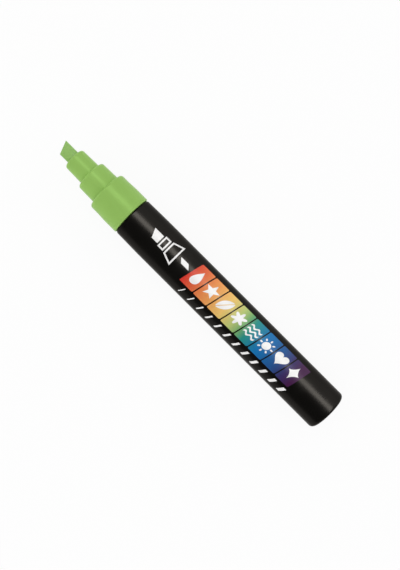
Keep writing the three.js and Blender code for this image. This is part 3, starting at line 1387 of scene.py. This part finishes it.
@dataclass
class Valve:
    """The pump valve: seat, stem, spring and cage, and the sealing ring outside it."""

    front: FrontSection
    nib: Nib
    ring_sides: int = 24
    seat_thickness: float = 1.8
    seat_hole: float = 4.1
    seat_edge: float = 0.15
    cone_depth: float = 0.7
    cone_edge: float = 0.1
    fin_diameter: float = 3.4
    fin_thickness: float = 0.8
    neck_diameter: float = 2.4
    head_diameter: float = 6.6
    head_rim: float = 1.2
    boss_diameter: float = 3.8
    boss_length: float = 1.2
    boss_rounding: float = 0.25
    boss_root: float = 0.2
    tail_diameter: float = 2.2
    tail_setback: float = 0.25
    tail_rounding: float = 0.5
    moulded_edge: float = 0.12
    cage_diameter: float = 11.2
    cage_overhang: float = 6.75
    cage_wall: float = 0.9
    cage_floor: float = 1.2
    cage_edge: float = 0.15
    cage_rounding: float = 0.6
    cage_root: float = 0.4
    bead_rounding: float = 0.1
    guide_length: float = 7.3
    guide_wall: float = 0.5
    guide_gap: float = 0.15
    guide_root: float = 0.3
    window_count: int = 4
    window_width: float = 4.4
    window_length: float = 3.6
    window_setback: float = 2.3
    wire: float = 0.45
    wire_sides: int = 12
    spring_diameter: float = 5.4
    spring_turns: int = 8
    spring_gap: float = 0.1
    end_pitch: float = 0.95
    steps_per_turn: int = 36

    @property
    def seat_rear(self) -> float:
        """Where the seat's rear face lies."""
        return -self.front.seat_setback + self.seat_thickness

    @property
    def cage_rear(self) -> float:
        """Where the cage's rear face lies."""
        return self.front.spigot_length + self.cage_overhang

    @property
    def head_front(self) -> float:
        """Where the stem's cone is as wide as the seat's hole."""
        return self.seat_rear - self.cone_depth + self.front.snug * math.sqrt(2)

    @property
    def rim_front(self) -> float:
        """Where the stem's cone is as wide as its head."""
        return self.head_front + self.head_diameter / 2 - self.seat_hole / 2

    @property
    def head_rear(self) -> float:
        """Where the stem's head ends and the spring bears."""
        return self.rim_front + self.head_rim

    def build(self) -> None:
        """Builds the valve's pieces."""
        self.ring()
        self.seat()
        self.stem()
        self.cage()
        self.spring()

    def ring(self) -> None:
        """Builds the sealing ring in the spigot's groove."""
        front = self.front
        radius = front.ring_thickness / 2
        centre = front.barrel.bore_at(front.ring_place) - front.snug - radius
        corners = []
        for i in range(self.ring_sides):
            along, across = polar(math.tau * i / self.ring_sides, radius)
            corners.append(Corner(centre + across, front.ring_place + along))
        ring = to_object(turned_mesh(corners), "seal_ring")
        dress(ring, Rubber(), Body.BODY, "sealing_ring")

    def seat(self) -> None:
        """Builds the soft seat with its conical mouth."""
        hole = self.seat_hole / 2
        front = -self.front.seat_setback + self.front.snug
        outside = self.front.valve_bore / 2 - self.front.snug
        corners = [
            Corner(hole, front, self.seat_edge),
            Corner(outside, front, self.seat_edge),
            Corner(outside, self.seat_rear, self.seat_edge),
            Corner(hole + self.cone_depth, self.seat_rear, self.cone_edge),
            Corner(hole, self.seat_rear - self.cone_depth, self.cone_edge),
        ]
        ring = to_object(turned_mesh(corners), "seat_ring")
        dress(ring, Rubber(), Body.BODY, "valve_seat")

    def stem(self) -> None:
        """Builds the stem: fins, sealing cone, head, boss and tail."""
        neck, head = self.neck_diameter / 2, self.head_diameter / 2
        boss, tail = self.boss_diameter / 2, self.tail_diameter / 2
        neck_front = self.head_front + neck - self.seat_hole / 2
        boss_rear = self.head_rear + self.boss_length
        tail_rear = self.cage_rear - self.nib.travel - self.tail_setback
        corners = [
            Corner(0.0, neck_front),
            Corner(neck, neck_front),
            Corner(head, self.rim_front, self.moulded_edge),
            Corner(head, self.head_rear, self.moulded_edge),
            Corner(boss, self.head_rear, self.moulded_edge),
            Corner(boss, boss_rear, self.boss_rounding),
            Corner(tail, boss_rear, self.boss_root),
            Corner(tail, tail_rear, self.tail_rounding),
            Corner(0.0, tail_rear),
        ]
        stem = to_object(turned_mesh(corners), "valve_plunger")
        fins = bmesh.new()
        fin, half = self.fin_diameter / 2, self.fin_thickness / 2
        low, high = Vector((self.nib.rear, -half, -fin)), Vector((self.head_front, half, fin))
        for angle in (0.0, math.pi / 2):
            block(fins, low, high, angle)
        combine(stem, to_object(fins, "stem_fins"), Boolean.JOIN)
        dress(stem, MilkyPlastic(), Body.NIB, "valve_stem")

    def cage(self) -> None:
        """Builds the cage: a cup with a snap bead, windows and a guide for the stem."""
        outside = self.cage_diameter / 2
        inside = outside - self.cage_wall
        bore = self.tail_diameter / 2 + self.guide_gap
        guide = bore + self.guide_wall
        front, rear = self.seat_rear + self.front.snug, self.cage_rear
        guide_front, floor = rear - self.guide_length, rear - self.cage_floor
        corners = [
            Corner(inside, front, self.cage_edge),
            Corner(outside, front, self.cage_edge),
            *self.front.bead(outside, fillet=self.bead_rounding),
            Corner(outside, rear, self.cage_rounding),
            Corner(bore, rear, self.moulded_edge),
            Corner(bore, guide_front, self.moulded_edge),
            Corner(guide, guide_front, self.moulded_edge),
            Corner(guide, floor, self.guide_root),
            Corner(inside, floor, self.cage_root),
        ]
        cup = to_object(turned_mesh(corners), "valve_cup")
        cutters = bmesh.new()
        window_rear, half = rear - self.window_setback, self.window_width / 2
        low = Vector((window_rear - self.window_length, -half, (inside + guide) / 2))
        high = Vector((window_rear, half, self.cage_diameter))
        for i in range(self.window_count):
            block(cutters, low, high, math.tau * (i + 0.5) / self.window_count)
        combine(cup, to_object(cutters, "window_cutters"), Boolean.CUT)
        dress(cup, MilkyPlastic(), Body.BODY, "valve_cage")

    def spring(self) -> None:
        """Builds the coil: a wire section screwed round the axis, its end turns closer."""
        wire = self.wire / 2
        floor = self.cage_rear - self.cage_floor
        front = self.head_rear + wire + self.spring_gap
        rear = floor - wire - self.spring_gap
        turns = self.spring_turns - 2
        pitch = (rear - front - 2 * self.end_pitch) / turns
        bm = bmesh.new()
        place = Matrix.Translation(AXIS.point(front, 0.0, self.spring_diameter / 2 - wire))
        place = place @ Matrix.Rotation(math.pi / 2, 4, "X")
        sides = self.wire_sides
        bmesh.ops.create_circle(bm, cap_ends=True, segments=sides, radius=wire * MM, matrix=place)
        geom = bm.faces[:]
        for count, rise in ((1, self.end_pitch), (turns, pitch), (1, self.end_pitch)):
            steps = count * self.steps_per_turn
            geom = turn(bm, geom, math.tau * count, steps, rise / self.steps_per_turn)
        coil = to_object(bm, "coil_spring")
        wire_steel = Steel(name="spring_wire", roughness=0.22)
        dress(coil, wire_steel, Body.BODY, "valve_spring")
        keep = 1 - self.nib.travel / (floor - self.head_rear)
        AXIS.point(floor)
        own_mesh(coil)


@dataclass
class MixingBall:
    """The steel ball, loose in the barrel."""

    subdivisions: int = 5

    def build(self) -> None:
        """Makes the ball where the frame holds it."""
        low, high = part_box("mixing_ball")
        bm = bmesh.new()
        place = Matrix.Translation((low + high) / 2)
        radius = (high.x - low.x) / 2
        bmesh.ops.create_icosphere(bm, subdivisions=self.subdivisions, radius=radius, matrix=place)
        polish = Steel(name="ball_polish", roughness=0.10)
        dress(to_object(bm, "steel_ball"), polish, Body.BALL, "mixing_ball")


class Use(Enum):
    """What a lamp is there for."""

    SHINE = "seen in glossy surfaces only"
    FILL = "lights surfaces and isn't mirrored"
    PANEL = "both"


@dataclass(frozen=True)
class Lamp:
    """A rectangular soft light that faces the marker.

    Args:
        name: the light's name.
        use: what the light is there for.
        radiance: how bright its face is, where 1 is white.
        size: its width along X and its height, in metres.
        distance: how far it stands from the marker, in metres.
        tilt: its angle from the zenith towards +Y, in degrees.
        lean: its angle from there towards +X, in degrees.
    """

    name: str
    use: Use
    radiance: float
    size: tuple[float, float]
    distance: float = 0.60
    tilt: float = 0.0
    lean: float = 0.0

    def build(self) -> None:
        """Adds the light."""
        data = bpy.data.lights.new(self.name, "AREA")
        data.shape = "RECTANGLE"
        data.size, data.size_y = self.size
        data.energy = self.radiance * math.pi * self.size[0] * self.size[1]
        lamp = bpy.data.objects.new(self.name, data)
        bpy.context.scene.collection.objects.link(lamp)
        aim = Matrix.Rotation(math.radians(-self.tilt), 4, "X")
        aim = aim @ Matrix.Rotation(math.radians(self.lean), 4, "Y")
        lamp.location = aim @ Vector((0.0, 0.0, self.distance))
        lamp.rotation_euler = aim.to_euler()
        lamp.visible_glossy = self.use is not Use.FILL
        lamp.visible_diffuse = self.use is not Use.SHINE


@dataclass
class Studio:
    """The floor, whose size is in metres, the lights and the camera."""

    floor_size: float = 40.0
    floor_paint: Colour = (0.9, 0.9, 0.9)
    floor_glow: float = 0.92
    camera_height: float = 335.7
    camera_along: float = 34.27
    camera_across: float = -0.13
    camera_turn: float = math.radians(45)
    lens: float = 60.0
    sensor: float = 36.0
    world_level: float = 0.10
    lamps: tuple[Lamp, ...] = (
        Lamp("strip", Use.SHINE, 10.6, (1.8, 0.25), tilt=22.0),
        Lamp("side_panel", Use.PANEL, 1.2, (1.8, 0.52), tilt=65.0),
        Lamp("near_fill", Use.FILL, 1.3, (1.8, 0.52), tilt=-65.0),
        Lamp("top_fill", Use.FILL, 0.85, (1.4, 1.0), distance=0.80),
        Lamp("nib_fill", Use.FILL, 1.7, (0.32, 0.8), distance=0.70, lean=-76.0),
        Lamp("rear_fill", Use.FILL, 0.6, (0.6, 0.8), distance=0.70, lean=66.0),
    )

    def build(self) -> None:
        """Builds the studio."""
        self.floor()
        for lamp in self.lamps:
            lamp.build()
        self.world()
        self.camera()
        bpy.context.scene.view_settings.view_transform = "Standard"

    def floor(self) -> None:
        """Lays a plain floor that looks white and keeps a soft shadow."""
        bm = bmesh.new()
        bmesh.ops.create_grid(bm, x_segments=1, y_segments=1, size=self.floor_size / 2)
        floor = to_object(bm, "floor")
        graph = Graph("white_floor")
        rays = ("Is Camera Ray", "Is Glossy Ray", "Is Transmission Ray")
        camera, glossy, through = (graph.node("ShaderNodeLightPath", output=ray) for ray in rays)
        paint = graph.node("ShaderNodeBsdfDiffuse", inputs={"Color": rgba(self.floor_paint)})
        glow = graph.node("ShaderNodeEmission", inputs={"Color": rgba(WHITE)})
        inputs = {0: (camera + glossy + through) * self.floor_glow, 1: paint, 2: glow}
        shader = graph.node("ShaderNodeMixShader", inputs=inputs)
        floor.data.materials.append(graph.output(shader))

    def world(self) -> None:
        """Sets a plain dim surround."""
        world = bpy.data.worlds.new("studio")
        world.use_nodes = True
        background = world.node_tree.nodes["Background"]
        background.inputs["Color"].default_value = rgba(WHITE)
        background.inputs["Strength"].default_value = self.world_level
        bpy.context.scene.world = world

    def camera(self) -> None:
        """Looks straight down on the marker, turned by 45 degrees."""
        data = bpy.data.cameras.new("photo_camera")
        data.lens = self.lens
        data.sensor_fit = "AUTO"
        data.sensor_width = self.sensor
        camera = bpy.data.objects.new("photo_camera", data)
        bpy.context.scene.collection.objects.link(camera)
        camera.location = AXIS.point(self.camera_along, self.camera_across, self.camera_height)
        camera.rotation_euler = (0.0, 0.0, self.camera_turn)
        bpy.context.scene.camera = camera


def main() -> None:
    """Builds the studio and the marker, from the barrel outwards."""
    logging.basicConfig(level=logging.INFO, format="%(name)s: %(message)s")
    Studio().build()
    barrel = Barrel()
    barrel.build()
    Artwork(barrel).build()
    front = FrontSection(barrel)
    front.build()
    nib = Nib(front)
    nib.build()
    Valve(front, nib).build()
    MixingBall().build()


if __name__ == "__main__":
    main()
